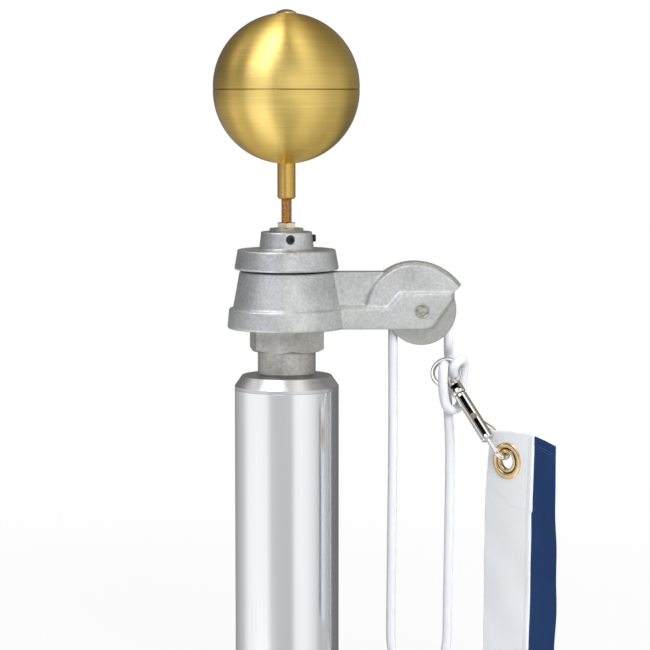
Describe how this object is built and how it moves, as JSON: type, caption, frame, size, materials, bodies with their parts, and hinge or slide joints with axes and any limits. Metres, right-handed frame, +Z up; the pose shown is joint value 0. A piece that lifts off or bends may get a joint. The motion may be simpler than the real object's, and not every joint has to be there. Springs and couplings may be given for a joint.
{
  "type": "flagpole head",
  "caption": "Top of an aluminium flagpole: revolving truck with a rope sheave, gold ball on a rod, halyard, swivel snap and the hoist strip of a flag.",
  "frame": {"origin": "centre of the pole section's lower end face", "axes": "+Z up along the pole, +X along the truck's arm"},
  "size_m": [0.29, 0.1466, 0.5906],
  "materials": {
    "pole_aluminium": "satin, drawn tube",
    "plug_aluminium": "satin, turned",
    "spindle_metal": "cast and turned, dull",
    "cast_aluminium": "sand cast, fine grain",
    "black_steel": "black oxide",
    "pale_brass": "plated, machined",
    "copper_gold": "rolled thread",
    "gold_anodised": "gold anodised, brushed",
    "pin_steel": "riveted",
    "sheave_aluminium": "machined, dull",
    "white_rope": "braided",
    "nickel": "nickel plated",
    "stud_brass": "worn",
    "white_canvas": "woven canvas",
    "blue_cloth": "woven nylon",
    "yellow_brass": "pressed, bright"
  },
  "bodies": {
    "pole": {"pole_tube": "pole_aluminium", "pole_plug": "plug_aluminium", "spindle": "spindle_metal", "truck_cap": "cast_aluminium", "set_screw_front": "black_steel", "set_screw_side": "black_steel", "jam_nut": "pale_brass", "finial_rod": "copper_gold", "rod_sleeve": "gold_anodised", "ball_lower": "gold_anodised", "ball_upper": "gold_anodised", "ball_cap": "gold_anodised"},
    "truck": {"truck_casting": "cast_aluminium", "axle_pin": "pin_steel", "halyard": "white_rope", "halyard_hitch": "white_rope", "snap_eye": "nickel"},
    "sheave": {"sheave": "sheave_aluminium"},
    "snap": {"snap_body": "nickel", "flag_header": "white_canvas", "flag_field": "blue_cloth", "grommet": "yellow_brass", "grommet_washer": "yellow_brass"},
    "bolt": {"snap_bolt": "nickel", "snap_thumb_stud": "stud_brass"}
  },
  "joints": [
    {"name": "truck_turn", "type": "hinge", "parent": "pole", "child": "truck", "pos_m": [0, 0, 0.315], "axis": [0, 0, 1], "continuous": true},
    {"name": "sheave_spin", "type": "hinge", "parent": "truck", "child": "sheave", "pos_m": [0.117, 0, 0.331], "axis": [0, 1, 0], "continuous": true},
    {"name": "snap_swivel", "type": "hinge", "parent": "truck", "child": "snap", "pos_m": [0.1395, 0, 0.2753], "axis": [0.4651, -0.4988, -0.7314], "continuous": true},
    {"name": "bolt_slide", "type": "slide", "parent": "snap", "child": "bolt", "axis": [-0.4651, 0.4988, 0.7314], "range_m": [0, 0.008], "stiffness_N_per_m": 400, "springref_m": -0.01}
  ]
}
